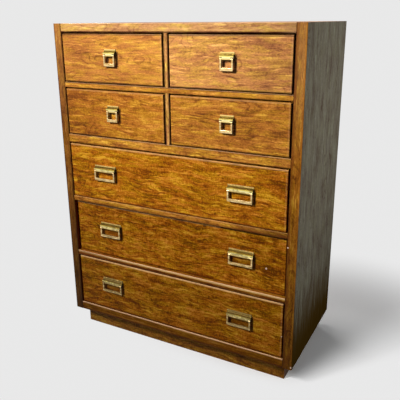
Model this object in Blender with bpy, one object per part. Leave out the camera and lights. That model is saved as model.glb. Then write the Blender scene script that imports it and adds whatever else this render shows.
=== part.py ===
"""A tall chest of seven drawers: two short drawers over two more, and three long ones below them.

Lengths are in metres. +Z is up, the front faces -Y, left is -X, and the origin is on the floor
under the middle of the whole chest with its pulls. The case is a mitred shell of veneered boards
behind a frame of stiles and rails. Every drawer slides out towards -Y, and every pull has a bail
that hangs on two pins and lifts about them.
"""

import collections
import math

import bmesh
import bpy
from mathutils import Matrix, Vector

# The case
CASE_WIDTH = 0.965
CASE_DEPTH = 0.465
SIDE_BOARD = 0.019
TOP_BOARD = 0.019
BOTTOM_BOARD = 0.012
BACK_BOARD = 0.006
BACK_INSET = 0.008

# The frame of the front, seen between and around the drawers
STILE_WIDTH = 0.035
FRAME_DEPTH = 0.022
BOTTOM_RAIL_HEIGHT = 0.035
DRAWER_RAIL_HEIGHT = 0.019
WAIST_RAIL_HEIGHT = 0.032
TOP_RAIL_HEIGHT = 0.031
DIVIDER_WIDTH = 0.017
LONG_OPENING_HEIGHT = 0.219
SHORT_OPENING_HEIGHT = 0.180
FRAME_EASE = 0.0016
CORNER_EASE = 0.003

# The plinth, which is set back under the case
PLINTH_HEIGHT = 0.073
PLINTH_SETBACK = 0.038
PLINTH_REAR_SETBACK = 0.020
PLINTH_BOARD = 0.018

# The boards between the rows, with the strips that guide the drawers
DUST_BOARD = 0.012
GUIDE_HEIGHT = 0.024
GUIDE_CLEARANCE = 0.0015
GUIDE_SETOFF = 0.012
RUNNER_SPREAD = 0.006
WEB_STRIP = 0.060
KICKER_CLEARANCE = 0.001

# The drawers. A stand is how far a front stands proud of the frame, or below it where negative
FRONT_THICKNESS = 0.020
FRONT_SIDE_GAP = 0.005
FRONT_TOP_GAP = 0.0045
FRONT_BOTTOM_GAP = 0.0035
FRONT_EASE = 0.003
UPPER_DRAWER_STAND = 0.0015
FOURTH_DRAWER_STAND = -0.012
BOTTOM_DRAWER_STAND = -0.003
BOX_SIDE = 0.012
BOX_BACK = 0.012
BOX_FLOOR = 0.005
BOX_FLOOR_RAISE = 0.009
BOX_INSET = 0.004
BOX_TOP_CLEARANCE = 0.010
BOX_REAR_CLEARANCE = 0.012
RUNNING_GAP = 0.0004

# The pulls: a cast plate with a cove along its top, and a flat bail that hangs below it
SHORT_PULL_WIDTH = 0.049
LONG_PULL_WIDTH = 0.095
PULL_END_INSET = 0.163
PULL_RAISE = 0.033
PLATE_HEIGHT = 0.024
PLATE_FLANGE = 0.0024
STRIP_HEIGHT = 0.0062
COVE_HEIGHT = 0.0042
NOSE_OUT = 0.0112
NOTCH_CLEARANCE = 0.002
PIN_RADIUS = 0.0014
PIN_WALL = 0.0005
PIN_RISE = 0.0025
PIN_REACH = 0.006
PIN_CLEARANCE = 0.0003
BAIL_INSET = 0.0015
BAIL_ARM = 0.0056
BAIL_BAR = 0.0096
BAIL_THICKNESS = 0.0044
BAIL_DROP = 0.037
BAIL_EASE = 0.0006
EYE_RADIUS = 0.0033
EYE_LENGTH = 0.0078
EYE_CLEARANCE = 0.0004
SCREW_RADIUS = 0.002
SCREW_CLEARANCE = 0.0006
SCREW_HEAD_RADIUS = 0.0042
SCREW_HEAD_HEIGHT = 0.0022
SCREW_INSET = 0.014

# What touching pieces keep between them, and how far one reaches into what it is joined to
JOINT_GAP = 0.0003
JOIN_LAP = 0.004
CUT_OVERRUN = 0.010

EASE_SEGMENTS = 2
FRONT_EASE_SEGMENTS = 3
COVE_SEGMENTS = 5
SCREW_SIDES = 12
EYE_SIDES = 16
SMOOTH_ANGLE = math.radians(35)

Row = collections.namedtuple("Row", "name opening across stand rail_above rail_height")
ROWS = (
    Row("bottom", LONG_OPENING_HEIGHT, 1, BOTTOM_DRAWER_STAND, "lower", DRAWER_RAIL_HEIGHT),
    Row("fourth", LONG_OPENING_HEIGHT, 1, FOURTH_DRAWER_STAND, "middle", DRAWER_RAIL_HEIGHT),
    Row("third", LONG_OPENING_HEIGHT, 1, UPPER_DRAWER_STAND, "waist", WAIST_RAIL_HEIGHT),
    Row("second", SHORT_OPENING_HEIGHT, 2, UPPER_DRAWER_STAND, "upper", DRAWER_RAIL_HEIGHT),
    Row("top", SHORT_OPENING_HEIGHT, 2, UPPER_DRAWER_STAND, "top", TOP_RAIL_HEIGHT),
)

# Places that follow from the sizes
HALF_WIDTH = CASE_WIDTH / 2
INNER_HALF = HALF_WIDTH - SIDE_BOARD
OPENING_HALF = HALF_WIDTH - STILE_WIDTH
FIRST_FLOOR = PLINTH_HEIGHT + BOTTOM_RAIL_HEIGHT
CASE_TOP = FIRST_FLOOR + sum(row.opening + row.rail_height for row in ROWS)
DEEPEST_STAND = min(row.stand for row in ROWS)
PIVOT_OUT = NOSE_OUT - PIN_RADIUS - PIN_WALL
PULL_REACH = max(row.stand for row in ROWS) + PIVOT_OUT + EYE_RADIUS
FRONT_Y = (PULL_REACH - CASE_DEPTH) / 2
REAR_Y = FRONT_Y + CASE_DEPTH
FRAME_Y = (FRONT_Y, FRONT_Y + FRAME_DEPTH)
BACK_BOARD_Y = REAR_Y - BACK_INSET - BACK_BOARD
INSIDE_Y = (FRAME_Y[1] + JOINT_GAP, BACK_BOARD_Y - JOINT_GAP)
INSIDE_X = (JOINT_GAP - INNER_HALF, INNER_HALF - JOINT_GAP)
BOX_GAP = FRONT_SIDE_GAP + BOX_INSET
LONG_PULL_OFFSET = OPENING_HALF - FRONT_SIDE_GAP - PULL_END_INSET
GUIDE_Y = (FRONT_Y + FRONT_THICKNESS - DEEPEST_STAND + GUIDE_SETOFF, INSIDE_Y[1])
BOX_Y = (
    FRONT_THICKNESS + JOINT_GAP,
    BACK_BOARD_Y - BOX_REAR_CLEARANCE - FRONT_Y + DEEPEST_STAND,
)


def new_material(name, colour, roughness, metallic=0.0):
    material = bpy.data.materials.new(name)
    material.use_nodes = True
    shader = material.node_tree.nodes["Principled BSDF"]
    shader.inputs["Base Color"].default_value = (*colour, 1.0)
    shader.inputs["Roughness"].default_value = roughness
    shader.inputs["Metallic"].default_value = metallic
    material.diffuse_color = (*colour, 1.0)
    return material


def add_object(name, mesh, material, place=(0, 0, 0), parent=None):
    obj = bpy.data.objects.new(name, mesh)
    obj.location = place
    obj.parent = parent
    if mesh and material and not mesh.materials:
        mesh.materials.append(material)
    bpy.context.scene.collection.objects.link(obj)
    return obj


def mesh_from(bm, name):
    bmesh.ops.recalc_face_normals(bm, faces=bm.faces)
    mesh = bpy.data.meshes.new(name)
    bm.to_mesh(mesh)
    bm.free()
    return mesh


def ease_edges(bm, edges, width, segments):
    bmesh.ops.bevel(bm, geom=edges, offset=width, segments=segments, profile=0.5, affect="EDGES")


def block(name, material, x, y, z, eases=()):
    """A board between two values on each axis.

    An ease is a test, a width and a number of segments. The test takes the middle of an edge,
    seen from the middle of the board, and picks the edges that are rounded over.
    """
    low = Vector((x[0], y[0], z[0]))
    high = Vector((x[1], y[1], z[1]))
    bm = bmesh.new()
    bmesh.ops.create_cube(bm, size=1)
    bmesh.ops.scale(bm, vec=high - low, verts=bm.verts)
    picked = [
        [edge for edge in bm.edges if test(edge.verts[0].co + edge.verts[1].co)]
        for test, *_ in eases
    ]
    widest = min(high - low) / 2 - JOINT_GAP
    for edges, (_, width, segments) in zip(picked, eases):
        ease_edges(bm, edges, min(width, widest), segments)
    return add_object(name, mesh_from(bm, name), material, (low + high) / 2)


def prism(name, material, outline, axis, start, end, ease=0):
    """An outline pushed along X or Y. Its points are (Y, Z) for X, and (X, Z) for Y."""
    bm = bmesh.new()
    if axis == "X":
        corners = [bm.verts.new((start, across, up)) for across, up in outline]
        push = Vector((end - start, 0, 0))
    else:
        corners = [bm.verts.new((across, start, up)) for across, up in outline]
        push = Vector((0, end - start, 0))
    face = bm.faces.new(corners)
    pushed = bmesh.ops.extrude_face_region(bm, geom=[face])["geom"]
    moved = [item for item in pushed if isinstance(item, bmesh.types.BMVert)]
    bmesh.ops.translate(bm, vec=push, verts=moved)
    if ease:
        ease_edges(bm, bm.edges[:], ease, EASE_SEGMENTS)
    return add_object(name, mesh_from(bm, name), material)


def rod(radius, axis, centre, start, end, sides):
    """A round bar along X or Y. centre holds where its line passes the other two axes."""
    bm = bmesh.new()
    bmesh.ops.create_cone(
        bm,
        cap_ends=True,
        segments=sides,
        radius1=radius,
        radius2=radius,
        depth=end - start,
        matrix=Matrix.Rotation(math.pi / 2, 4, "Y" if axis == "X" else "X"),
    )
    middle = (start + end) / 2
    place = (middle, *centre) if axis == "X" else (centre[0], middle, centre[1])
    return add_object("rod", mesh_from(bm, "rod"), None, place)


def combine(obj, operation, tools):
    """Joins the tools' shapes to the object, or cuts them from it, and removes the tools."""
    for tool in tools:
        change = obj.modifiers.new(operation.title(), "BOOLEAN")
        change.operation = operation
        change.solver = "EXACT"
        change.object = tool
    graph = bpy.context.evaluated_depsgraph_get()
    result = bpy.data.meshes.new_from_object(obj.evaluated_get(graph))
    materials = list(obj.data.materials)
    obj.modifiers.clear()
    obj.data = result
    result.name = obj.name
    result.materials.clear()
    for material in materials:
        result.materials.append(material)
    result.polygons.foreach_set("material_index", [0] * len(result.polygons))
    for tool in tools:
        bpy.data.objects.remove(tool)
    return obj


def around_front(middle):
    """The four edges around the front face."""
    return middle.y < 0


def along_front(middle):
    """The two front edges that run across the chest."""
    return middle.y < 0 and middle.x == 0


def left_front(middle):
    """The upright front edge on the left."""
    return middle.y < 0 and middle.x < 0 and middle.z == 0


def right_front(middle):
    """The upright front edge on the right."""
    return middle.y < 0 and middle.x > 0 and middle.z == 0


def rows_from_floor():
    """Each row with the height of its openings' floor."""
    floor = FIRST_FLOOR
    for row in ROWS:
        yield row, floor
        floor += row.opening + row.rail_height


def openings_in(row):
    """The name and the two sides of each opening in a row."""
    if row.across == 1:
        return [(row.name, -OPENING_HALF, OPENING_HALF)]
    return [
        (f"{row.name}_left", -OPENING_HALF, -DIVIDER_WIDTH / 2),
        (f"{row.name}_right", DIVIDER_WIDTH / 2, OPENING_HALF),
    ]


def mirrored(span):
    return (-span[1], -span[0])


def add_plinth(material):
    half = HALF_WIDTH - PLINTH_SETBACK
    front = FRONT_Y + PLINTH_SETBACK
    back = REAR_Y - PLINTH_REAR_SETBACK
    height = (0, PLINTH_HEIGHT - JOINT_GAP)
    across = (-half, half)
    between = (front + PLINTH_BOARD + JOINT_GAP, back - PLINTH_BOARD - JOINT_GAP)
    right = (half - PLINTH_BOARD, half)
    block("plinth_front", material, across, (front, front + PLINTH_BOARD), height)
    block("plinth_back", material, across, (back - PLINTH_BOARD, back), height)
    block("plinth_right", material, right, between, height)
    block("plinth_left", material, mirrored(right), between, height)


def add_shell(side_veneer, top_veneer, board):
    """The two sides, mitred to the top, and the thin back between them."""
    mitre_drop = JOINT_GAP * math.hypot(SIDE_BOARD, TOP_BOARD) / SIDE_BOARD
    for name, sign in (("left", -1), ("right", 1)):
        side = [
            (sign * INNER_HALF, PLINTH_HEIGHT),
            (sign * HALF_WIDTH, PLINTH_HEIGHT),
            (sign * HALF_WIDTH, CASE_TOP - mitre_drop),
            (sign * INNER_HALF, CASE_TOP - TOP_BOARD - mitre_drop),
        ]
        prism(f"{name}_side_panel", side_veneer, side, "Y", INSIDE_Y[0], REAR_Y)
    top = [
        (-INNER_HALF, CASE_TOP - TOP_BOARD),
        (INNER_HALF, CASE_TOP - TOP_BOARD),
        (HALF_WIDTH, CASE_TOP),
        (-HALF_WIDTH, CASE_TOP),
    ]
    prism("top_panel", top_veneer, top, "Y", INSIDE_Y[0], REAR_Y)
    back_height = (PLINTH_HEIGHT, CASE_TOP - TOP_BOARD - JOINT_GAP)
    back_depth = (BACK_BOARD_Y, BACK_BOARD_Y + BACK_BOARD)
    block("back_panel", board, INSIDE_X, back_depth, back_height)


def add_front_frame(veneer):
    """The stiles at both sides, the rails between them and the dividers of the short rows."""
    upright = (PLINTH_HEIGHT, CASE_TOP)
    stile = (OPENING_HALF, HALF_WIDTH)
    inner = (FRAME_EASE, EASE_SEGMENTS)
    outer = (CORNER_EASE, EASE_SEGMENTS)
    right_eases = [(left_front, *inner), (right_front, *outer)]
    left_eases = [(left_front, *outer), (right_front, *inner)]
    block("right_stile", veneer, stile, FRAME_Y, upright, right_eases)
    block("left_stile", veneer, mirrored(stile), FRAME_Y, upright, left_eases)

    across = (JOINT_GAP - OPENING_HALF, OPENING_HALF - JOINT_GAP)
    rail_eases = [(along_front, *inner)]
    divider_eases = [(left_front, *inner), (right_front, *inner)]
    block("bottom_rail", veneer, across, FRAME_Y, (PLINTH_HEIGHT, FIRST_FLOOR), rail_eases)
    for row, floor in rows_from_floor():
        ceiling = floor + row.opening
        rail = (ceiling, ceiling + row.rail_height)
        block(f"{row.rail_above}_rail", veneer, across, FRAME_Y, rail, rail_eases)
        if row.across == 2:
            width = (-DIVIDER_WIDTH / 2, DIVIDER_WIDTH / 2)
            height = (floor + JOINT_GAP, ceiling - JOINT_GAP)
            block(f"{row.name}_divider", veneer, width, FRAME_Y, height, divider_eases)


def guide_strips(row, floor):
    """The strips that stand beside a row's drawer boxes and keep them straight."""
    height = (floor - JOIN_LAP, floor + GUIDE_HEIGHT)
    outer = (OPENING_HALF - BOX_GAP + GUIDE_CLEARANCE, INSIDE_X[1])
    spans = [outer, mirrored(outer)]
    if row.across == 2:
        partition_side = DIVIDER_WIDTH / 2
        inner = (partition_side + JOINT_GAP, partition_side + BOX_GAP - GUIDE_CLEARANCE)
        spans += [inner, mirrored(inner)]
    return [block("strip", None, span, GUIDE_Y, height) for span in spans]


def add_bottom_panel(material):
    """The board under the lowest drawer, with the runners that lift its box to the rail's top."""
    row = ROWS[0]
    board = (PLINTH_HEIGHT, PLINTH_HEIGHT + BOTTOM_BOARD)
    panel = block("bottom_panel", material, INSIDE_X, INSIDE_Y, board)
    height = (board[1] - JOIN_LAP, FIRST_FLOOR)
    runner = (OPENING_HALF - BOX_GAP - BOX_SIDE - RUNNER_SPREAD, INSIDE_X[1])
    spans = [runner, mirrored(runner)]
    runners = [block("runner", None, span, INSIDE_Y, height) for span in spans]
    combine(panel, "UNION", runners + guide_strips(row, FIRST_FLOOR))


def add_dust_boards(material):
    """A board behind each rail between two rows. The drawers above it run on its top."""
    rows = list(rows_from_floor())
    for (below, _), (row, floor) in zip(rows, rows[1:]):
        name = f"{below.rail_above}_dust_board"
        board = block(name, material, INSIDE_X, INSIDE_Y, (floor - DUST_BOARD, floor))
        combine(board, "UNION", guide_strips(row, floor))


def web_frame_floor():
    return CASE_TOP - TOP_RAIL_HEIGHT + KICKER_CLEARANCE


def add_top_web_frame(material):
    """The open frame under the top that stops the highest drawers from tipping."""
    height = (web_frame_floor(), CASE_TOP - TOP_BOARD - JOINT_GAP)
    frame = block("top_web_frame", material, INSIDE_X, INSIDE_Y, height)
    window = block(
        "window",
        None,
        (INSIDE_X[0] + WEB_STRIP, INSIDE_X[1] - WEB_STRIP),
        (INSIDE_Y[0] + WEB_STRIP, INSIDE_Y[1] - WEB_STRIP),
        (height[0] - CUT_OVERRUN, height[1] + CUT_OVERRUN),
    )
    combine(frame, "DIFFERENCE", [window])


def add_partitions(material):
    """The upright boards behind the dividers, between two short drawers."""
    rows = list(rows_from_floor())
    ceilings = [floor - DUST_BOARD for _, floor in rows[1:]] + [web_frame_floor()]
    width = (-DIVIDER_WIDTH / 2, DIVIDER_WIDTH / 2)
    for (row, floor), ceiling in zip(rows, ceilings):
        if row.across == 2:
            height = (floor + JOINT_GAP, ceiling - JOINT_GAP)
            block(f"{row.name}_partition", material, width, INSIDE_Y, height)


def tongue_half(pull_width):
    """Half the width of the plate's tongue, which stands between the bail's two eyes."""
    return pull_width / 2 - BAIL_INSET - EYE_LENGTH - EYE_CLEARANCE


def screws_of(pull_width):
    """Where a plate's two screws pass, as X and Z from the middle of the pivot axis."""
    height = PLATE_HEIGHT / 2 - PIN_RISE
    reach = pull_width / 2 - SCREW_INSET
    return [(-reach, height), (reach, height)]


def plate_mesh(width, material):
    """A pull's plate with its pins and screws, seen from the middle of the pivot axis."""
    top = PLATE_HEIGHT - PIN_RISE
    back = PIVOT_OUT - JOINT_GAP
    strip = PIVOT_OUT - PLATE_FLANGE
    nose = PIVOT_OUT - NOSE_OUT
    turns = [step / COVE_SEGMENTS * math.pi / 2 for step in range(COVE_SEGMENTS + 1)]
    cove = [
        (
            nose + (strip - nose) * math.cos(turn),
            top - STRIP_HEIGHT - COVE_HEIGHT * math.sin(turn),
        )
        for turn in turns
    ]
    outline = [(back, -PIN_RISE), (back, top), (strip, top), *cove, (nose, -PIN_RISE)]
    plate = prism("plate", material, outline, "X", -width / 2, width / 2)

    side = tongue_half(width)
    notch = (side, width / 2 + CUT_OVERRUN)
    depth = (nose - CUT_OVERRUN, strip)
    height = (-PIN_RISE - CUT_OVERRUN, EYE_RADIUS + NOTCH_CLEARANCE)
    spans = [notch, mirrored(notch)]
    combine(plate, "DIFFERENCE", [block("notch", None, span, depth, height) for span in spans])

    reach = side + PIN_REACH
    parts = [rod(PIN_RADIUS, "X", (0, 0), -reach, reach, SCREW_SIDES)]
    head = PIVOT_OUT + FRONT_THICKNESS + JOINT_GAP
    head_end = head + SCREW_HEAD_HEIGHT
    for place in screws_of(width):
        shank = (back - JOIN_LAP, (head + head_end) / 2)
        parts.append(rod(SCREW_RADIUS, "Y", place, *shank, SCREW_SIDES))
        parts.append(rod(SCREW_HEAD_RADIUS, "Y", place, head, head_end, SCREW_SIDES))
    return smooth_mesh(combine(plate, "UNION", parts))


def bail_mesh(width, material):
    """A pull's bail: two arms and a broad bar, with an eye on top of each arm."""
    outer = width / 2 - BAIL_INSET
    inner = outer - BAIL_ARM
    bar_top = BAIL_BAR - BAIL_DROP
    outline = [
        (-outer, 0),
        (-outer, -BAIL_DROP),
        (outer, -BAIL_DROP),
        (outer, 0),
        (inner, 0),
        (inner, bar_top),
        (-inner, bar_top),
        (-inner, 0),
    ]
    half_thickness = BAIL_THICKNESS / 2
    bail = prism("bail", material, outline, "Y", -half_thickness, half_thickness, BAIL_EASE)
    eye = (outer - EYE_LENGTH, outer)
    bore = (eye[0] - CUT_OVERRUN, tongue_half(width) + PIN_REACH + EYE_CLEARANCE)
    bore_radius = PIN_RADIUS + PIN_CLEARANCE
    eyes = [rod(EYE_RADIUS, "X", (0, 0), *span, EYE_SIDES) for span in (eye, mirrored(eye))]
    combine(bail, "UNION", eyes)
    bores = [rod(bore_radius, "X", (0, 0), *span, EYE_SIDES) for span in (bore, mirrored(bore))]
    return smooth_mesh(combine(bail, "DIFFERENCE", bores))


def smooth_mesh(obj):
    """The object's mesh with its round faces smoothed. The object itself is removed."""
    mesh = obj.data
    mesh.shade_smooth()
    mesh.set_sharp_from_angle(angle=SMOOTH_ANGLE)
    bpy.data.objects.remove(obj)
    return mesh


def pulls_of(name, row):
    """The name, the width and the distance from the drawer's middle of each of its pulls."""
    if row.across == 2:
        return [(name, SHORT_PULL_WIDTH, 0)]
    return [
        (f"{name}_left", LONG_PULL_WIDTH, -LONG_PULL_OFFSET),
        (f"{name}_right", LONG_PULL_WIDTH, LONG_PULL_OFFSET),
    ]


def add_drawer(name, row, sides, floor, materials, pull_meshes):
    """A front, the box behind it and its pulls, under an empty at the front's lower middle."""
    half = (sides[1] - sides[0]) / 2 - FRONT_SIDE_GAP
    place = ((sides[0] + sides[1]) / 2, FRONT_Y - row.stand, floor)
    drawer = add_object(f"{name}_drawer", None, None, place)
    pivot_height = row.opening / 2 + PULL_RAISE - PLATE_HEIGHT + PIN_RISE

    front = block(
        f"{name}_drawer_front",
        materials["drawer_veneer"],
        (-half, half),
        (0, FRONT_THICKNESS),
        (FRONT_BOTTOM_GAP, row.opening - FRONT_TOP_GAP),
        [(around_front, FRONT_EASE, FRONT_EASE_SEGMENTS)],
    )
    holes = [
        rod(
            SCREW_RADIUS + SCREW_CLEARANCE,
            "Y",
            (across + x, pivot_height + z),
            -CUT_OVERRUN,
            FRONT_THICKNESS + CUT_OVERRUN,
            SCREW_SIDES,
        )
        for _, width, across in pulls_of(name, row)
        for x, z in screws_of(width)
    ]
    combine(front, "DIFFERENCE", holes).parent = drawer

    outer = half - BOX_INSET
    inside = (BOX_SIDE - outer, outer - BOX_SIDE)
    depth = (BOX_Y[0] - CUT_OVERRUN, BOX_Y[1] - BOX_BACK)
    top = row.opening - BOX_TOP_CLEARANCE
    box = block(
        f"{name}_drawer_box",
        materials["drawer_wood"],
        (-outer, outer),
        BOX_Y,
        (RUNNING_GAP, top),
    )
    floor_top = BOX_FLOOR_RAISE + BOX_FLOOR
    space = block("space", None, inside, depth, (floor_top, top + CUT_OVERRUN))
    recess = block("recess", None, inside, depth, (-CUT_OVERRUN, BOX_FLOOR_RAISE))
    combine(box, "DIFFERENCE", [space, recess]).parent = drawer

    for pull, width, across in pulls_of(name, row):
        pivot = (across, -PIVOT_OUT, pivot_height)
        for piece, mesh in pull_meshes[width].items():
            add_object(f"{pull}_pull_{piece}", mesh, materials["brass"], pivot, drawer)


def main():
    for obj in list(bpy.data.objects):
        bpy.data.objects.remove(obj)

    frame_veneer = new_material("frame_veneer", (0.43, 0.19, 0.06), 0.38)
    side_veneer = new_material("side_veneer", (0.12, 0.10, 0.07), 0.42)
    board = new_material("carcass_board", (0.35, 0.22, 0.11), 0.7)
    materials = {
        "drawer_veneer": new_material("drawer_veneer", (0.50, 0.22, 0.06), 0.36),
        "drawer_wood": new_material("drawer_wood", (0.55, 0.40, 0.24), 0.6),
        "brass": new_material("brass", (0.66, 0.50, 0.20), 0.28, metallic=1.0),
    }

    add_plinth(frame_veneer)
    add_shell(side_veneer, frame_veneer, board)
    add_front_frame(frame_veneer)
    add_bottom_panel(board)
    add_dust_boards(board)
    add_top_web_frame(board)
    add_partitions(board)

    pull_meshes = {
        width: {
            "plate": plate_mesh(width, materials["brass"]),
            "bail": bail_mesh(width, materials["brass"]),
        }
        for width in (SHORT_PULL_WIDTH, LONG_PULL_WIDTH)
    }
    for row, floor in rows_from_floor():
        for name, left, right in openings_in(row):
            add_drawer(name, row, (left, right), floor, materials, pull_meshes)


if __name__ == "__main__":
    main()
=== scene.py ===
"""A tall chest of seven drawers in figured veneer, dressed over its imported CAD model.

Lengths are in metres, the front faces -Y, and grain places are named along, through and across
the board that they lie on.
"""

import math

import bpy
from mathutils import Euler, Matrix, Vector


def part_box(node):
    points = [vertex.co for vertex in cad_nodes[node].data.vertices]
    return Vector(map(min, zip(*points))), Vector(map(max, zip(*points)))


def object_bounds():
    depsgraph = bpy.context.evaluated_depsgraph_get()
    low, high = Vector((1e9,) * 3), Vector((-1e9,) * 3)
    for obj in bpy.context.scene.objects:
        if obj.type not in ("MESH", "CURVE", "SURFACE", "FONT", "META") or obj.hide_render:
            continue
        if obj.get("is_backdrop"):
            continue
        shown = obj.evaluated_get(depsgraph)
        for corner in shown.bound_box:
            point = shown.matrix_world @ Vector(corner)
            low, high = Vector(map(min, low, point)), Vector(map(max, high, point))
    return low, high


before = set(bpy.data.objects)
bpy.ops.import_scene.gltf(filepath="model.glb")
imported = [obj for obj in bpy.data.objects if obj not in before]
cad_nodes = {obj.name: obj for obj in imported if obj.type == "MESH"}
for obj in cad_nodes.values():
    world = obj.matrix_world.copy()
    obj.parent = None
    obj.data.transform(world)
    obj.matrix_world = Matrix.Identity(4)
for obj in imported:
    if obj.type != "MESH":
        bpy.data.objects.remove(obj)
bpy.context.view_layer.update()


# ---- The plinth
# Four boards butted round a hollow and set back under the case. They are veneered like the
# frame, with the grain level.


class Wire:
    """A node's output that can stand in a sum, which adds the Math nodes that work it out."""

    def __init__(self, graph, socket):
        self.graph = graph
        self.socket = socket

    def maths(self, operation, first, second):
        return self.graph.node("ShaderNodeMath", {"operation": operation}, {0: first, 1: second})

    def __add__(self, other):
        return self.maths("ADD", self, other)

    def __sub__(self, other):
        return self.maths("SUBTRACT", self, other)

    def __rsub__(self, other):
        return self.maths("SUBTRACT", other, self)

    def __mul__(self, other):
        return self.maths("MULTIPLY", self, other)

    def __truediv__(self, other):
        return self.maths("DIVIDE", self, other)

    def __pow__(self, other):
        return self.maths("POWER", self, other)

    def __lt__(self, other):
        return self.maths("LESS_THAN", self, other)

    __radd__ = __add__
    __rmul__ = __mul__


class Graph:
    """The nodes of one material, or of the room around the chest."""

    def __init__(self, owner):
        owner.use_nodes = True
        self.owner = owner
        self.tree = owner.node_tree

    def node(self, kind, settings=None, sockets=None, out=0):
        """A new node. Its settings go in first, then its sockets' values and wires."""
        made = self.tree.nodes.new(kind)
        for name, value in (settings or {}).items():
            if name == "stops":
                self.set_stops(made.color_ramp, value)
            else:
                setattr(made, name, value)
        for name, value in (sockets or {}).items():
            self.feed(made.inputs[name], value)
        return Wire(self, made.outputs[out])

    def set_stops(self, ramp, stops):
        ramp.elements[0].position, ramp.elements[0].color = stops[0]
        ramp.elements[1].position, ramp.elements[1].color = stops[-1]
        for position, colour in stops[1:-1]:
            ramp.elements.new(position).color = colour

    def feed(self, socket, value):
        if isinstance(value, Wire):
            self.tree.links.new(value.socket, socket)
        else:
            socket.default_value = value


def paint(red, green, blue):
    """The linear colour of three sRGB values from 0 to 255."""
    curve = [((part / 255 + 0.055) / 1.055) ** 2.4 for part in (red, green, blue)]
    return (*curve, 1.0)


def noise(graph, place, size, detail=3.0, roughness=0.55, distortion=0.0):
    """Cloudy variation from 0 to 1 around 0.5, with marks of this size along, through, across."""
    scale = tuple(1 / length for length in size)
    stretched = graph.node("ShaderNodeVectorMath", {"operation": "MULTIPLY"}, {0: place, 1: scale})
    return graph.node(
        "ShaderNodeTexNoise",
        None,
        {
            "Vector": stretched,
            "Scale": 1.0,
            "Detail": detail,
            "Roughness": roughness,
            "Distortion": distortion,
        },
    )


def fade(graph, value, start, end):
    """0 before start, 1 after end, and smooth between them."""
    return graph.node(
        "ShaderNodeMapRange",
        {"interpolation_type": "SMOOTHSTEP"},
        {"Value": value, "From Min": start, "From Max": end},
    )


def between(graph, value, start, stop, soft):
    """1 from start to stop and 0 beyond them, with borders that are twice as wide as soft."""
    rise = fade(graph, value, start - soft, start + soft)
    return rise * fade(graph, value, stop + soft, stop - soft)


def blend(graph, share, first, second):
    """The first colour where share is 0, and the second where it is 1."""
    return graph.node(
        "ShaderNodeMix", {"data_type": "RGBA"}, {0: share, 6: first, 7: second}, out=2
    )


def on_board(graph, axes, shift):
    """A point's place along, through and across a board. axes names the board's three axes."""
    place = graph.node("ShaderNodeTexCoord", out="Object")
    parts = graph.node("ShaderNodeSeparateXYZ", None, {0: place}).socket.node.outputs
    turned = {
        slot: Wire(graph, parts[axis]) + amount
        for slot, (axis, amount) in enumerate(zip(axes, shift))
    }
    return graph.node("ShaderNodeCombineXYZ", None, turned)


def facing(graph, axis):
    """How squarely a surface faces along one of the axes, from -1 to 1."""
    normal = graph.node("ShaderNodeNewGeometry", out="Normal")
    parts = graph.node("ShaderNodeSeparateXYZ", None, {0: normal}).socket.node.outputs
    return Wire(graph, parts[axis])


def swayed(graph, place, wild, coarse):
    """A board's place, bent so that straight marks sway, and shrunk so that they are coarser."""
    slow = noise(graph, place, (0.26, 0.30, 0.13), detail=1.0) - 0.5
    quick = noise(graph, place, (0.060, 0.070, 0.034), detail=2.0) - 0.5
    sway = slow * (0.012 + 0.048 * wild) + quick * (0.004 + 0.016 * wild)
    push = graph.node("ShaderNodeCombineXYZ", None, {"Z": sway})
    bent = graph.node("ShaderNodeVectorMath", {"operation": "ADD"}, {0: place, 1: push})
    return graph.node(
        "ShaderNodeVectorMath", {"operation": "MULTIPLY"}, {0: bent, 1: (1 / coarse,) * 3}
    )


def growth_lines(graph, place, bent, streak):
    """1 on the thin dark lines between growth rings, which show in some places only."""
    swell = noise(graph, bent, (0.15, 0.12, 0.052), detail=0.6)
    turn = graph.node("ShaderNodeMath", {"operation": "FRACT"}, {0: swell * 10.0 + streak * 0.12})
    line = fade(graph, turn, 0.55, 0.93) * fade(graph, turn, 1.0, 0.94)
    return line * fade(graph, noise(graph, place, (0.13, 0.1, 0.07), detail=1.0), 0.44, 0.60)


def small_knots(graph, bent, fleck):
    """1 in the small knots, of which about half of the possible ones are there."""
    cells = graph.node(
        "ShaderNodeVectorMath", {"operation": "MULTIPLY"}, {0: bent, 1: (6.5, 3.0, 13.0)}
    )
    centres = graph.node("ShaderNodeTexVoronoi", {"feature": "F1"}, {"Vector": cells, "Scale": 1.0})
    picked = Wire(graph, centres.socket.node.outputs["Color"])
    return fade(graph, centres + fleck * 0.3, 0.15, 0.03) * fade(graph, picked, 0.52, 0.60)


# From dark to bright: how far red, green and blue are lifted, and the blue haze of the lacquer.
TONE_STEPS = (
    (0.33, 0.26, 0.34, 0.000),
    (0.63, 0.55, 0.62, 0.000),
    (1.00, 1.00, 1.00, 0.000),
    (1.28, 1.42, 1.30, 0.006),
    (1.72, 2.25, 1.80, 0.022),
)
DARKEST_TONE, STEP_IN_TONE = 0.12, 0.19


def coloured(graph, tone, middle, balance, swing):
    """The veneer's colour at a tone, in one of its casts."""
    stops = []
    for count, (*lifts, haze) in enumerate(TONE_STEPS):
        lifts = [lifts[0] + (lift - lifts[0]) * swing for lift in lifts]
        red, green, blue = (a * b * c for a, b, c in zip(middle, lifts, balance))
        stops.append((DARKEST_TONE + STEP_IN_TONE * count, (red, green, blue + haze, 1.0)))
    return graph.node("ShaderNodeValToRGB", {"stops": stops}, {0: tone})


# The veneer's specks and bare chips, then the tones of worn edges with a painted highlight, and of
# painted shade on turned-in edges, in gaps and toward the foot.
SPECK, BARE_WOOD = (40, 18, 6), (232, 196, 168)
WORN_LIT_EDGE, DARK_EDGE_SHADE = (250, 204, 164), (62, 26, 10)
DARK_GAP_SHADE, DARK_FOOT_SHADE = (24, 10, 4), (34, 22, 8)
USUAL_TINTS = ((1.03, 1.07, 0.76), (0.98, 0.86, 1.02))
CHIP_DEPTH, GAP_FADE = 0.004, 0.003


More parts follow.
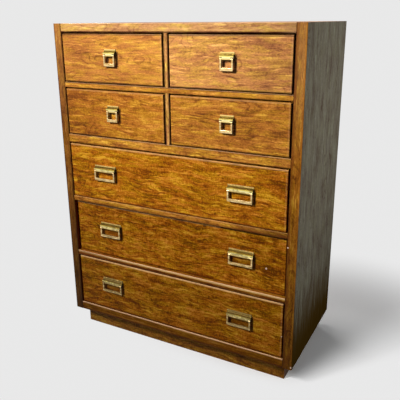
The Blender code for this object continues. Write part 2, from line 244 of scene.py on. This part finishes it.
def figured_wood(
    name,
    axes,
    middle,
    shift=(0, 0, 0),
    face=None,
    stain_depth=0.003,
    figure=1.0,
    wild=1.0,
    coarse=1.0,
    rings=0.22,
    drift=(0.0, 0.0),
    tints=USUAL_TINTS,
    swing=1.0,
    edge_wear_and_highlight=0.5,
    worn_lit_edge_tone=WORN_LIT_EDGE,
    edge_stain=DARK_EDGE_SHADE,
    gap_stain=DARK_GAP_SHADE,
    shine=0.2,
    foot_shade=(-1.0, -1.1, 0.0),
    foot_shade_tone=DARK_FOOT_SHADE,
    patches=(),
    chips=(),
):
    """Lacquered veneer: grain that sways, cloudy figure, growth lines, knots, pores and specks.

    middle is its linear colour where it is neither dark nor bright. face is where the front
    surface lies in Y: from stain_depth behind it the faces in the gaps are painted gap_stain, a
    painted shade. figure is how strongly the figure shows, wild is how far it is curled and knotted
    rather than straight, coarse is how large its marks are, and rings is how dark its growth lines
    are. drift is an X and how fast the veneer turns paler to the right of it. tints are its two
    casts, and swing is how far its hue turns with its tone. edge_wear_and_highlight is how far the
    upper front edges have turned worn_lit_edge_tone, partly wear and partly a painted highlight,
    and edge_stain is the painted shade on the other edges. foot_shade is two heights and a share:
    from the first height down to the second it is painted darker, toward foot_shade_tone, as
    painted shade. patches are parts of the face painted another tone, most of them painted shade or
    highlight along edges, gaps and bails, each given by its left, right, lowest and highest place,
    a share, a colour and how far its borders fade. chips are bare spots, each given by its X, Z and
    radius.
    """
    graph = Graph(bpy.data.materials.new(name))
    place = on_board(graph, axes, shift)
    bent = swayed(graph, place, wild, coarse)

    # The figure, from its broadest marks to its finest.
    cloud = noise(graph, bent, (0.11, 0.060, 0.034), detail=3.0, distortion=0.5) - 0.5
    streak = noise(graph, bent, (0.105, 0.030, 0.0070), detail=4.0, roughness=0.66) - 0.5
    fleck = noise(graph, bent, (0.022, 0.010, 0.0048), detail=3.0, roughness=0.68) - 0.5
    curl = noise(graph, bent, (0.013, 0.020, 0.034), detail=2.0, distortion=0.6) - 0.5
    fibre = noise(graph, bent, (0.034, 0.003, 0.0014), detail=2.0, roughness=0.6) - 0.5
    grit = noise(graph, bent, (0.0075, 0.006, 0.0032), detail=2.0, roughness=0.75) - 0.5
    tick = noise(graph, bent, (0.0040, 0.006, 0.0130), detail=2.0, roughness=0.70) - 0.5
    glint = fade(graph, noise(graph, bent, (0.060, 0.030, 0.0062), detail=3.0), 0.56, 0.68)
    turned = graph.node("ShaderNodeVectorMath", {"operation": "ADD"}, {0: bent, 1: (9.0, 3.0, 5.0)})
    dim = fade(graph, noise(graph, turned, (0.060, 0.030, 0.0075), detail=3.0), 0.56, 0.70)
    dash = fade(graph, noise(graph, turned, (0.0125, 0.006, 0.0036), detail=1.0), 0.66, 0.74)
    burn = fade(graph, noise(graph, turned, (0.020, 0.020, 0.0065), detail=3.0), 0.62, 0.72)

    # All of it together makes one tone, and the tone makes the colour.
    point = graph.node("ShaderNodeTexCoord", out="Object")
    parts = graph.node("ShaderNodeSeparateXYZ", None, {0: point}).socket.node.outputs
    sideways, deep, height = (Wire(graph, parts[axis]) for axis in "XYZ")
    figured = cloud * 0.9 + streak * 0.9 + fibre * 0.5 + grit * 0.8
    figured = figured + (fleck + curl * 0.2 + tick * 0.75) * wild
    marks = growth_lines(graph, place, bent, streak) * rings
    marks = marks + dim * 0.14 + dash * 0.20 - glint * 0.34
    marks = marks + (burn * 0.10 + small_knots(graph, bent, fleck) * 0.30) * wild
    tone = 0.50 + (figured - marks) * figure + (sideways - drift[0]) * drift[1]
    casts = [coloured(graph, tone, middle, balance, swing) for balance in tints]
    hue = noise(graph, bent, (0.060, 0.040, 0.014), detail=3.0, roughness=0.6)
    colour = blend(graph, fade(graph, hue, 0.36, 0.60), *casts)

    pore = fade(graph, noise(graph, bent, (0.013, 0.0022, 0.0008), detail=1.0), 0.64, 0.74)
    pored = blend(graph, pore * 0.45, colour, (*(part * 0.30 for part in middle), 1.0))
    dots = graph.node("ShaderNodeTexVoronoi", {"feature": "F1"}, {"Vector": place, "Scale": 38.0})
    marked = blend(graph, fade(graph, dots, 0.034, 0.022) * 0.75, pored, paint(*SPECK))

    # What use has done to it, and painted light: worn edges with a painted highlight, painted
    # shade on turned-in edges, in gaps and toward the foot, painted patches, and chips.
    front, up = facing(graph, "Y") * -1.0, facing(graph, "Z")
    # Eased edges facing up and forward turn paler: partly wear, partly a painted highlight.
    edge = fade(graph, front, 0.15, 0.35) * fade(graph, up, 0.20, 0.40)
    wear_and_shading = blend(graph, edge * (edge_wear_and_highlight + fleck * edge_wear_and_highlight), marked, paint(*worn_lit_edge_tone))
    # Edges turned away from the front and from above are painted shade.
    turned_in = fade(graph, front, 0.96, 0.80) * fade(graph, up, 0.30, 0.10)
    wear_and_shading = blend(graph, turned_in * 0.75, wear_and_shading, paint(*edge_stain))
    ahead = fade(graph, front, 0.6, 0.9)
    for left, right, lowest, highest, share, shade, soft in patches:
        inside = between(graph, sideways, left, right, soft)
        inside = inside * between(graph, height, lowest, highest, soft)
        patchy = inside * (share + (fleck + streak) * (1.4 * share))
        wear_and_shading = blend(graph, patchy * ahead, wear_and_shading, paint(*shade))
    # Painted shade: the veneer darkens toward its foot.
    shade_below = fade(graph, height + streak * 0.3, foot_shade[0], foot_shade[1]) * foot_shade[2]
    wear_and_shading = blend(graph, shade_below, wear_and_shading, paint(*foot_shade_tone))
    for chip_x, chip_z, size in chips:
        off_x, off_z = sideways - chip_x, height - chip_z
        distance = (off_x * off_x + off_z * off_z) ** 0.5 + fleck * (0.8 * size)
        bare = fade(graph, distance, size * 1.1, size * 0.8) * (deep < (face + CHIP_DEPTH))
        wear_and_shading = blend(graph, bare, wear_and_shading, paint(*BARE_WOOD))
    # Faces behind the front, in the gaps, are painted shade.
    if face is not None:
        start = face + stain_depth
        hidden = fade(graph, deep, start, start + GAP_FADE) * fade(graph, up, 0.9, 0.5)
        wear_and_shading = blend(graph, hidden * 0.92, wear_and_shading, paint(*gap_stain))

    shader = graph.tree.nodes["Principled BSDF"]
    graph.feed(shader.inputs["Base Color"], wear_and_shading)
    graph.feed(shader.inputs["Roughness"], 0.42 + cloud * 0.2 - fibre * 0.1 + pore * 0.15)
    shader.inputs["Specular IOR Level"].default_value = shine
    shader.inputs["Specular Tint"].default_value = (1.0, 0.84, 0.62, 1.0)
    bumps = fibre * 0.6 + fleck * 0.3 - pore * 0.8
    bump = graph.node(
        "ShaderNodeBump", None, {"Strength": 0.15, "Distance": 0.0003, "Height": bumps}
    )
    graph.feed(shader.inputs["Normal"], bump)
    return graph.owner


def dress(material, *names):
    """Gives CAD nodes their finish."""
    for name in names:
        mesh = cad_nodes[name].data
        mesh.materials.clear()
        mesh.materials.append(material)


PLINTH_COLOUR = (0.258, 0.104, 0.007)
plinth_wood = figured_wood("plinth_veneer", "XYZ", PLINTH_COLOUR, (3.1, 0.0, 0.4), shine=0.10)
plinth_side_wood = figured_wood(
    "plinth_side_veneer", "YXZ", (0.110, 0.055, 0.010), (1.7, 0.0, 2.4), shine=0.10
)
dress(plinth_wood, "plinth_front", "plinth_back")
dress(plinth_side_wood, "plinth_left", "plinth_right")


# ---- The shell
# Two side panels mitred to the top panel. They are particle board under a straight-grained
# veneer with a cooler, greyer stain than the front; its pale grey is partly that stain and partly
# a painted sheen. The grain stands upright on the sides, which are painted darker toward the foot,
# as painted shade.

side_wood = figured_wood(
    "side_veneer",
    "ZXY",
    (0.480, 0.500, 0.375),
    (0.0, 0.0, 1.3),
    figure=0.75,
    wild=0.05,
    coarse=1.1,
    tints=((1.01, 1.02, 0.95), (0.99, 0.98, 1.02)),
    swing=0.2,
    shine=0.0,
    # Painted shade: the side is painted darker toward its foot.
    foot_shade=(0.38, 0.12, 1.0),
    foot_shade_tone=(72, 51, 14),
)
dress(side_wood, "left_side_panel", "right_side_panel")
top_wood = figured_wood("top_veneer", "XZY", (0.40, 0.17, 0.045), (5.2, 0.0, 0.7), wild=0.5)
dress(top_wood, "top_panel")


# ---- The front frame
# Stiles, rails and dividers in the veneer of the drawers, with the grain along each piece.
# They are glued to the edges of the shell, and their front edges are eased.

# Patch tones. PALE, CREAM and GOLDEN paint highlights on edges, SHADE and RUST paint shade at edges
# and gaps and darken some rail ends, and TAN makes parts paler.
PALE, CREAM = (236, 186, 138), (244, 206, 140)
GOLDEN, TAN = (206, 128, 40), (172, 130, 86)
RUST, SHADE = (112, 50, 18), (64, 22, 8)
# How far the borders of most patches fade, to each side.
CRISP = 0.0012


def upright(left, right, share, shade, soft=CRISP):
    """A patch over a piece's whole height."""
    return (left, right, -1.0, 2.0, share, shade, soft)


def level(lowest, highest, share, shade, soft=CRISP):
    """A patch over a piece's whole width."""
    return (-1.0, 1.0, lowest, highest, share, shade, soft)


FRONT_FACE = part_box("left_stile")[0].y
CASE_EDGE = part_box("right_stile")[1].x
INNER_LEFT, INNER_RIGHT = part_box("left_stile")[1].x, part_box("right_stile")[0].x
frame_finish = {"face": FRONT_FACE, "stain_depth": 0.0003, "shine": 0.06}
left_stile_wood = figured_wood(
    "left_stile_veneer",
    "ZYX",
    (0.345, 0.130, 0.016),
    (0.0, 0.0, 2.9),
    wild=0.10,
    # The stile's faces in the gaps are painted a red-brown shade.
    gap_stain=(110, 48, 16),
    # Painted shade: the stile is painted darker from its top down to its foot.
    foot_shade=(1.2, 0.1, 0.80),
    patches=(
        level(0.95, 1.5, 0.18, TAN, 0.20),
        # Painted shade along the outer edge, and along the inner edge by the gap.
        upright(-CASE_EDGE, -CASE_EDGE + 0.004, 0.7, SHADE),
        upright(INNER_LEFT - 0.0045, INNER_LEFT, 0.6, SHADE),
    ),
    **frame_finish,
)
right_stile_wood = figured_wood(
    "right_stile_veneer",
    "ZYX",
    (0.415, 0.160, 0.011),
    (1.3, 0.0, 8.2),
    figure=1.15,
    wild=0.10,
    # Painted shade: the stile is painted darker from its top down to its foot.
    foot_shade=(1.1, 0.1, 0.60),
    patches=(
        level(0.95, 1.5, 0.32, TAN, 0.20),
        # A painted highlight on the outer edge, and painted shade inside the inner edge by the gap.
        upright(CASE_EDGE - 0.005, CASE_EDGE, 0.5, GOLDEN),
        upright(INNER_RIGHT, INNER_RIGHT + 0.009, 0.5, RUST, 0.003),
        upright(INNER_RIGHT, INNER_RIGHT + 0.0025, 0.6, SHADE),
    ),
    chips=((0.4503, 0.5347, 0.0028), (0.4801, 0.083, 0.0040)),
    **frame_finish,
)
low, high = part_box("top_divider")
divider_wood = figured_wood(
    "divider_veneer",
    "ZYX",
    (0.58, 0.29, 0.075),
    (4.0, 0.0, 5.9),
    wild=0.1,
    patches=(
        # Painted shade along both edges, by the gaps.
        upright(low.x, low.x + 0.004, 0.7, SHADE),
        upright(high.x - 0.004, high.x, 0.7, SHADE),
    ),
    **frame_finish,
)
# The side panels' veneer runs on over the stiles' outer sides.
for stile, wood, outward in (
    ("left_stile", left_stile_wood, -1),
    ("right_stile", right_stile_wood, 1),
):
    dress(wood, stile)
    mesh = cad_nodes[stile].data
    mesh.materials.append(side_wood)
    for face in mesh.polygons:
        if face.normal.x * outward > 0.9 and face.center.x * outward > CASE_EDGE - 0.001:
            face.material_index = 1
dress(divider_wood, "second_divider", "top_divider")

# Each rail's colour, its shift along the grain, its edge wear with a painted highlight, and how
# strong its figure is.
RAILS = {
    "top": ((0.605, 0.325, 0.100), 7.7, 0.5, 0.60),
    "upper": ((0.56, 0.24, 0.030), 14.7, 0.4, 0.85),
    "waist": ((0.56, 0.24, 0.030), 20.9, 0.4, 1.0),
    "middle": ((0.49, 0.205, 0.022), 27.3, 0.12, 1.0),
    "lower": ((0.36, 0.13, 0.010), 9.7, 1.2, 1.0),
    "bottom": ((0.190, 0.068, 0.002), 36.4, 1.1, 1.0),
}
# Painted shade and painted highlight along a rail's whole length, at its top edge and foot: from
# which edge, between which distances, share and tone.
RAIL_EDGE_SHADING = {
    "top": (("foot", 0.0, 0.0045, 0.9, SHADE),),
    "upper": (("foot", 0.0, 0.0035, 0.2, SHADE), ("top", -0.003, 0.0, 0.7, SHADE)),
    "waist": (("foot", 0.0, 0.0035, 0.6, SHADE), ("top", -0.003, 0.0, 0.5, SHADE)),
    "middle": (("top", -0.003, 0.0, 0.10, PALE), ("foot", 0.0, 0.006, 0.45, RUST)),
    "lower": (("top", -0.0065, 0.0, 0.60, CREAM), ("foot", 0.0, 0.009, 0.70, SHADE)),
    "bottom": (("top", -0.0045, 0.0, 0.60, PALE), ("foot", 0.0, 0.008, 0.60, SHADE)),
}
# A darker or paler tone at one end of a rail, over its whole height, in the same order, and how far
# it fades out.
RAIL_END_TONES = {
    "top": ("right", -0.03, 0.10, 0.50, TAN, 0.04),
    "middle": ("right", -0.15, 0.20, 0.55, SHADE, 0.12),
    "lower": ("left", 0.0, 0.10, 0.70, RUST, 0.10),
}
for rail, (middle, shift, edge_wear_and_highlight, figure) in RAILS.items():
    low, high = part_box(f"{rail}_rail")
    edges = {"top": high.z, "foot": low.z, "left": low.x, "right": high.x}
    patches = [
        level(edges[edge] + start, edges[edge] + stop, share, shade)
        for edge, start, stop, share, shade in RAIL_EDGE_SHADING[rail]
    ]
    if rail in RAIL_END_TONES:
        edge, start, stop, share, shade, soft = RAIL_END_TONES[rail]
        patches.append(upright(edges[edge] + start, edges[edge] + stop, share, shade, soft))
    rail_wood = figured_wood(
        f"{rail}_rail_veneer",
        "XYZ",
        middle,
        (shift, 0.0, 0.0),
        figure=figure,
        wild=0.3,
        edge_wear_and_highlight=edge_wear_and_highlight,
        patches=patches,
        **frame_finish,
    )
    dress(rail_wood, f"{rail}_rail")


# ---- The inside of the case
# Dust boards, partitions, the bottom and the open frame under the top, in plain pale board.
# The thin back is a sheet of hardboard pinned in a rebate.


def plain_wood(name, axes, dark, pale):
    """Unlacquered wood with fine straight grain and a few darker patches."""
    graph = Graph(bpy.data.materials.new(name))
    place = on_board(graph, axes, (0, 0, 0))
    grain = noise(graph, place, (0.16, 0.02, 0.004), detail=4.0, roughness=0.65)
    patch = noise(graph, place, (0.22, 0.10, 0.07), detail=2.0)
    pore = fade(graph, noise(graph, place, (0.010, 0.001, 0.0007), detail=1.0), 0.62, 0.75)
    share = grain * 1.1 + patch * 0.7 - 0.4 - pore * 0.25
    shader = graph.tree.nodes["Principled BSDF"]
    graph.feed(shader.inputs["Base Color"], blend(graph, share, dark, pale))
    graph.feed(shader.inputs["Roughness"], 0.62 + patch * 0.2)
    shader.inputs["Specular IOR Level"].default_value = 0.25
    bump = graph.node(
        "ShaderNodeBump", None, {"Strength": 0.3, "Distance": 0.0004, "Height": grain - pore}
    )
    graph.feed(shader.inputs["Normal"], bump)
    return graph.owner


board_wood = plain_wood("inner_board", "XZY", paint(122, 88, 56), paint(176, 138, 96))
dress(
    board_wood,
    "bottom_panel",
    "lower_dust_board",
    "middle_dust_board",
    "waist_dust_board",
    "upper_dust_board",
    "top_web_frame",
    "top_partition",
    "second_partition",
)
back_wood = plain_wood("back_hardboard", "ZYX", paint(96, 66, 42), paint(138, 100, 66))
dress(back_wood, "back_panel")


# ---- The drawer fronts
# Solid-core fronts faced with wild-figured veneer, level grain, cut so that each front has its
# own figure. The upper ones have bleached in the light and the lower ones stay deep. Shadow is
# painted behind and beside the bails, and shade and highlights along the fronts' edges.

# Each front's colour and its shift in the grain, then its figure, wildness and shine.
FRONTS = {
    "top_left": ((0.550, 0.228, 0.035), 0.2, 0.74, 0.30, 0.20),
    "top_right": ((0.604, 0.278, 0.065), 6.1, 0.80, 0.30, 0.20),
    "second_left": ((0.456, 0.170, 0.0145), 11.4, 1.00, 0.55, 0.15),
    "second_right": ((0.493, 0.196, 0.0215), 17.9, 1.00, 0.45, 0.15),
    "third": ((0.453, 0.166, 0.0038), 23.3, 1.20, 0.75, 0.10),
    "fourth": ((0.361, 0.1305, 0.0021), 31.8, 1.25, 0.85, 0.08),
    "bottom": ((0.308, 0.113, 0.0008), 39.5, 1.30, 0.85, 0.08),
}
# How fast a front turns paler to its right, and how dark its growth lines are, where unusual.
DRIFTS = {"top_left": 0.35, "top_right": -0.40, "second_left": 0.70}
RINGS = {"top_left": 0.30, "top_right": 0.22, "second_right": 0.20}
CALM_TINTS = ((1.03, 1.08, 0.79), (0.98, 0.85, 1.03))
WILD_TINTS = ((1.06, 1.15, 0.74), (0.97, 0.77, 1.01))

# Painted shade and shadow, near black and red-brown, for the fronts' edges, gaps and bails; the
# pale tones paint highlights on top edges and easing.
EDGE_SHADOW_DARK, RED_EDGE_SHADE = (44, 15, 6), (130, 44, 12)
RED_GAP_SHADE_TONE, ARM_SHADOW, WINDOW_SHADOW = (100, 32, 10), (40, 14, 6), (70, 34, 10)
STRAW, HONEY, OCHRE, UMBER = (248, 198, 140), (238, 184, 118), (226, 178, 122), (150, 96, 46)

# How far the tall drawers' top edges are painted pale: partly wear, partly a painted highlight.
LIT_WORN_TOPS = {"third": 0.35, "fourth": 0.10, "bottom": 0.62}
# The short drawers' top edges: how far they are painted, their tone, and that of the easing. The
# top row's is painted shadow, the second row's a painted highlight.
SHORT_TOP_EDGES = {"top": (0.60, EDGE_SHADOW_DARK, EDGE_SHADOW_DARK), "second": (0.25, OCHRE, UMBER)}
# How strongly a highlight is painted inside a front's right edge, where it differs from 0.12.
RIGHT_EDGE_HIGHLIGHT = {"top": 0.20, "fourth": 0.0}
FRONT_CHIPS = {"fourth": ((0.3727, 0.4373, 0.0036),), "bottom": ((0.4402, 0.1949, 0.0024),)}

# The fourth front's top edge has a painted highlight from its left end, and painted shadow at its
# right end.
PALE_END, DARK_START = -0.05, 0.20

# Painted shadow behind each arm of a bail and a little to its right, from below the bail to the
# plate.
BAIL_ARM = 0.0056
SHADOW_BELOW_BAIL, SHADOW_BELOW_PLATE_TOP = 0.003, 0.008
SHORT_SHADOW_SPREAD, LONG_SHADOW_SPREAD = 0.0100, 0.0075
# How strongly shadow is painted inside the bails' windows on the lower fronts.
SHADOWED_WINDOWS = {"fourth": 0.30, "bottom": 0.45}

for drawer, (middle, shift, figure, wild, shine) in FRONTS.items():
    low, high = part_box(f"{drawer}_drawer_front")
    row = drawer.split("_")[0]
    is_short = row in SHORT_TOP_EDGES
    lit_wear = LIT_WORN_TOPS.get(drawer, 0.0)
    # Painted shade on the fronts' turned-in and bottom edges: near black on the short drawers,
    # red-brown on the tall ones.
    stain = EDGE_SHADOW_DARK if is_short else RED_EDGE_SHADE
    top_lit_wear, top_tone, easing = SHORT_TOP_EDGES.get(row, (lit_wear, HONEY, STRAW))
    # A painted highlight inside the right edge, painted shade along the bottom edge, and the top
    # edge painted as set above.
    patches = [
        upright(high.x - 0.0065, high.x - 0.003, RIGHT_EDGE_HIGHLIGHT.get(row, 0.12), PALE),
        level(low.z, low.z + 0.0045, 0.5, stain),
        level(high.z - 0.0055, high.z - 0.002, top_lit_wear, top_tone),
    ]
    if drawer == "fourth":
        top_edge = (high.z - 0.0060, high.z - 0.0015)
        patches += [
            (low.x, PALE_END, *top_edge, 0.65, PALE, CRISP),
            (PALE_END, DARK_START, *top_edge, 0.35, PALE, CRISP),
            (DARK_START, high.x, high.z - 0.006, high.z, 0.60, EDGE_SHADOW_DARK, CRISP),
        ]
    for pull in (drawer,) if is_short else (f"{drawer}_left", f"{drawer}_right"):
        bail_low, bail_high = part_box(f"{pull}_pull_bail")
        plate_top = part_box(f"{pull}_pull_plate")[1].z
        behind = (bail_low.z - SHADOW_BELOW_BAIL, plate_top - SHADOW_BELOW_PLATE_TOP)
        spread = BAIL_ARM + (SHORT_SHADOW_SPREAD if is_short else LONG_SHADOW_SPREAD)
        # Painted shadow behind each arm and a little to its right.
        for arm in (bail_low.x, bail_high.x - BAIL_ARM):
            patches.append((arm, arm + spread, *behind, 0.72, ARM_SHADOW, 0.0022))
        # Painted shadow inside the bail's window.
        if drawer in SHADOWED_WINDOWS:
            window = (bail_low.x, bail_high.x, bail_low.z, bail_high.z)
            patches.append((*window, SHADOWED_WINDOWS[drawer], WINDOW_SHADOW, 0.002))
    front_wood = figured_wood(
        f"{drawer}_front_veneer",
        "XYZ",
        middle,
        (shift, 0.0, shift / 3),
        face=low.y,
        figure=figure,
        wild=wild,
        drift=((low.x + high.x) / 2, DRIFTS.get(drawer, 0.0)),
        rings=RINGS.get(drawer, 0.18),
        tints=CALM_TINTS if is_short else WILD_TINTS,
        shine=shine,
        edge_wear_and_highlight=0.85 if is_short else lit_wear * 1.5,
        worn_lit_edge_tone=easing,
        edge_stain=stain,
        gap_stain=DARK_GAP_SHADE if is_short else RED_GAP_SHADE_TONE,
        patches=patches,
        chips=FRONT_CHIPS.get(drawer, ()),
    )
    dress(front_wood, f"{drawer}_drawer_front")


# ---- The drawer boxes
# Sides and backs of pale hardwood with a thin plywood floor, glued behind the fronts and left
# unlacquered.

box_wood = plain_wood("drawer_box_wood", "YXZ", paint(178, 140, 96), paint(218, 186, 142))
dress(box_wood, *[f"{drawer}_drawer_box" for drawer in FRONTS])


# ---- The pulls
# Cast brass plates with a cove along the top, and flat bails that hang on two pins. The metal
# is lacquered and has aged, most on the lower drawers. Sides and undersides, and the plates'
# coves, are darkened by patina and painted shade, and the plates' noses have a painted highlight.

PLATE_TOP_TO_NOTCH = 0.0162
NOSE_TO_NOTCH_BACK = 0.0030
# Down a plate's face: its lip, the cove darkened by patina and painted shade, the nose with a
# painted highlight, and painted shade under the nose.
CAST_TONES = (
    (0.00, (246, 216, 138)),
    (0.17, (228, 192, 108)),
    (0.22, (46, 36, 12)),
    (0.40, (84, 68, 26)),
    (0.47, (214, 190, 88)),
    (0.58, (248, 228, 132)),
    (0.70, (255, 242, 180)),
    (0.92, (236, 204, 124)),
    (1.00, (150, 116, 58)),
)
RUBBED, POLISHED, STAINED = (198, 160, 96), (244, 214, 154), (186, 150, 60)
DULLED, RAW_CASTING_AND_SHADE = (112, 92, 52), (34, 18, 5)


def aged_brass(name, age, plate=None):
    """Brass that has dulled on its face, with sides and undersides darkened, partly as unpolished
    casting and partly as painted shade.

    plate is the lowest and highest corner of a pull plate: its face takes the tones of CAST_TONES,
    and its notches are darkened like its sides.
    """
    graph = Graph(bpy.data.materials.new(name))
    place = graph.node("ShaderNodeTexCoord", out="Object")
    parts = graph.node("ShaderNodeSeparateXYZ", None, {0: place}).socket.node.outputs
    cast = noise(graph, place, (0.006, 0.006, 0.006), detail=3.0)
    stain = noise(graph, place, (0.020, 0.018, 0.009), detail=3.0)
    patch = noise(graph, place, (0.022, 0.020, 0.005), detail=3.0)
    dull = fade(graph, stain + cast * 0.4, 0.72 - 0.25 * age, 0.95 - 0.20 * age)
    rubbed = fade(graph, patch, 0.30, 0.62)
    bright = blend(graph, rubbed, paint(*RUBBED), paint(*POLISHED))
    if plate is not None:
        low, high = plate
        drop = (high.z - Wire(graph, parts["Z"])) / (high.z - low.z)
        stops = [(share, paint(*tone)) for share, tone in CAST_TONES]
        tones = graph.node("ShaderNodeValToRGB", {"stops": stops}, {0: drop})
        bright = blend(graph, rubbed * 0.10, tones, paint(*STAINED))
    wear_and_shading = blend(graph, dull * (0.35 + 0.45 * age), bright, paint(*DULLED))
    # Sides, undersides and the plate's notches are darkened: partly unpolished casting, partly
    # painted shade.
    turned = graph.node("ShaderNodeMath", {"operation": "ABSOLUTE"}, {0: facing(graph, "X")})
    bare_and_shaded = turned.maths(
        "MAXIMUM", fade(graph, turned, 0.6, 0.9), fade(graph, facing(graph, "Z"), -0.5, -0.8)
    )
    if plate is not None:
        height, deep = Wire(graph, parts["Z"]), Wire(graph, parts["Y"])
        in_notch = (height < (high.z - PLATE_TOP_TO_NOTCH)) * (
            1.0 - (deep < (low.y + NOSE_TO_NOTCH_BACK))
        )
        bare_and_shaded = bare_and_shaded.maths("MAXIMUM", bare_and_shaded, in_notch)
    colour = blend(graph, bare_and_shaded * (0.96 - cast * 0.1), wear_and_shading, paint(*RAW_CASTING_AND_SHADE))
    shader = graph.tree.nodes["Principled BSDF"]
    shader.inputs["Metallic"].default_value = 1.0
    graph.feed(shader.inputs["Base Color"], colour)
    graph.feed(shader.inputs["Roughness"], 0.34 + 0.04 * age + dull * 0.2 + bare_and_shaded * 0.3)
    bump = graph.node(
        "ShaderNodeBump", None, {"Strength": 0.15, "Distance": 0.0002, "Height": cast}
    )
    graph.feed(shader.inputs["Normal"], bump)
    return graph.owner


PULL_AGES = {"top": 0.0, "second": 0.2, "third": 0.45, "fourth": 0.7, "bottom": 1.0}
for row, age in PULL_AGES.items():
    plate_brass = aged_brass(f"{row}_plate_brass", age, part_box(f"{row}_left_pull_plate"))
    bail_brass = aged_brass(f"{row}_bail_brass", age)
    for side in ("left", "right"):
        dress(plate_brass, f"{row}_{side}_pull_plate")
        dress(bail_brass, f"{row}_{side}_pull_bail")


# ---- The studio
# A pale floor and a backdrop of the same tone. One lamp high on the left in front draws the
# shadows. The rest is weak: a low lamp in front, one overhead, one on each side, and the room.

BACKDROP = (0.811, 0.811, 0.811, 1.0)


def add_lamp(name, place, target, size, power, spread, colour=(1.0, 1.0, 1.0)):
    """A round lamp at a place, turned towards its target. spread is in degrees."""
    lamp = bpy.data.lights.new(name, "AREA")
    lamp.shape = "DISK"
    lamp.size = size
    lamp.energy = power
    lamp.spread = math.radians(spread)
    lamp.color = colour
    obj = bpy.data.objects.new(name, lamp)
    obj.location = place
    obj.rotation_euler = (Vector(target) - Vector(place)).to_track_quat("-Z", "Y").to_euler()
    bpy.context.scene.collection.objects.link(obj)


LAMPS = {
    "key": {
        "place": (-1.15, -2.20, 2.45),
        "target": (0.10, -0.20, 1.25),
        "size": 0.5,
        "power": 20.6,
        "spread": 82,
    },
    "fill": {
        "place": (-0.40, -2.60, 0.65),
        "target": (0.0, -0.20, 0.20),
        "size": 0.6,
        "power": 0.3,
        "spread": 50,
    },
    "top": {
        "place": (0.31, 0.25, 2.50),
        "target": (0.31, 0.25, 0.0),
        "size": 0.3,
        "power": 2.9,
        "spread": 100,
    },
    "left": {
        "place": (-1.75, 1.45, 1.05),
        "target": (-0.45, 0.12, 0.65),
        "size": 0.8,
        "power": 2.6,
        "spread": 50,
    },
    "rear": {
        "place": (3.15, 0.70, 1.35),
        "target": (0.48, 0.0, 1.00),
        "size": 1.0,
        "power": 5.3,
        "spread": 50,
        "colour": (0.94, 0.99, 1.0),
    },
}
for lamp_name, setup in LAMPS.items():
    add_lamp(f"{lamp_name}_lamp", **setup)

world = bpy.data.worlds.new("studio_room")
bpy.context.scene.world = world
room = Graph(world)


def mirrored_or_seen(graph):
    """1 for the rays that show the studio itself: the camera's and those off gloss or glass."""
    rays = graph.node("ShaderNodeLightPath").socket.node.outputs
    seen, glossy, through = (
        Wire(graph, rays[kind])
        for kind in ("Is Camera Ray", "Is Glossy Ray", "Is Transmission Ray")
    )
    return seen.maths("MAXIMUM", seen, seen.maths("MAXIMUM", glossy, through))


ROOM_LEVEL = (0.09, 0.09, 0.093, 1.0)
surround = blend(room, mirrored_or_seen(room), ROOM_LEVEL, BACKDROP)
room.feed(world.node_tree.nodes["Background"].inputs["Color"], surround)

# The floor takes the lamps' light only where the shadow falls, right of the case and behind it.
# Past the shadow's edges it is as even as the backdrop.
FLOOR_SIZE = 40.0
LIT_FLOOR, SEEN_FLOOR = (0.18, 0.17, 0.16, 1.0), (1.30, 1.29, 1.28, 1.0)
SHADOW_MIDDLE, MIDDLE_SOLID, MIDDLE_END = (0.50, 0.15, 0.0), 0.25, 0.90
FRONT_END, FRONT_SOLID = -0.26, -0.12
# The shadow's right edge starts at the case's front corner, and is softer further from it.
SHADOW_CORNER = (0.48, -0.22)
ACROSS_SHADOW, ALONG_SHADOW = (0.82, -0.57), (0.53, 0.85)
LEAST_SOFT, SOFTER_ALONG = 0.05, 0.30
SIDE_END, SIDE_SOLID = 0.5, -1.0

bpy.ops.mesh.primitive_plane_add(size=FLOOR_SIZE)
floor = bpy.context.object
floor.name = "studio_floor"
floor_paint = Graph(bpy.data.materials.new("floor_paint"))
floor.data.materials.append(floor_paint.owner)
ground = floor_paint.node("ShaderNodeTexCoord", out="Object")
reach = floor_paint.node(
    "ShaderNodeVectorMath", {"operation": "DISTANCE"}, {0: ground, 1: SHADOW_MIDDLE}, out="Value"
)
tone = blend(floor_paint, mirrored_or_seen(floor_paint), LIT_FLOOR, SEEN_FLOOR)
lit = floor_paint.node("ShaderNodeBsdfDiffuse", None, {"Color": tone})
plain = floor_paint.node("ShaderNodeEmission", None, {"Color": BACKDROP})
ground_parts = floor_paint.node("ShaderNodeSeparateXYZ", None, {0: ground}).socket.node.outputs
ground_x, ground_y = (Wire(floor_paint, ground_parts[axis]) for axis in "XY")
from_x, from_y = ground_x - SHADOW_CORNER[0], ground_y - SHADOW_CORNER[1]
across = from_x * ACROSS_SHADOW[0] + from_y * ACROSS_SHADOW[1]
along = from_x * ALONG_SHADOW[0] + from_y * ALONG_SHADOW[1]
softness = along.maths("MAXIMUM", along, 0.0) * SOFTER_ALONG + LEAST_SOFT
shaded = fade(floor_paint, reach, MIDDLE_END, MIDDLE_SOLID)
shaded = shaded * fade(floor_paint, ground_y, FRONT_END, FRONT_SOLID)
shaded = shaded * fade(floor_paint, across / softness, SIDE_END, SIDE_SOLID)
far = (1 - shaded) * mirrored_or_seen(floor_paint)
surface = floor_paint.node("ShaderNodeMixShader", None, {0: far, 1: lit, 2: plain})
floor_paint.feed(floor_paint.tree.nodes["Material Output"].inputs["Surface"], surface)
floor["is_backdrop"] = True

# The camera stands where the corners of the case fall on their places in the picture.
camera_data = bpy.data.cameras.new("camera")
camera_data.lens = 47.99
camera_data.sensor_width = 36
camera_data.shift_x = 0.0007
camera_data.shift_y = -0.04475
camera = bpy.data.objects.new("camera", camera_data)
camera.location = (0.9547, -1.78265, 1.2553)
camera.rotation_euler = Euler([math.radians(turn) for turn in (73.021, 0.479, 27.926)])
bpy.context.scene.collection.objects.link(camera)
bpy.context.scene.camera = camera
bpy.context.scene.view_settings.view_transform = "Standard"

low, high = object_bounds()
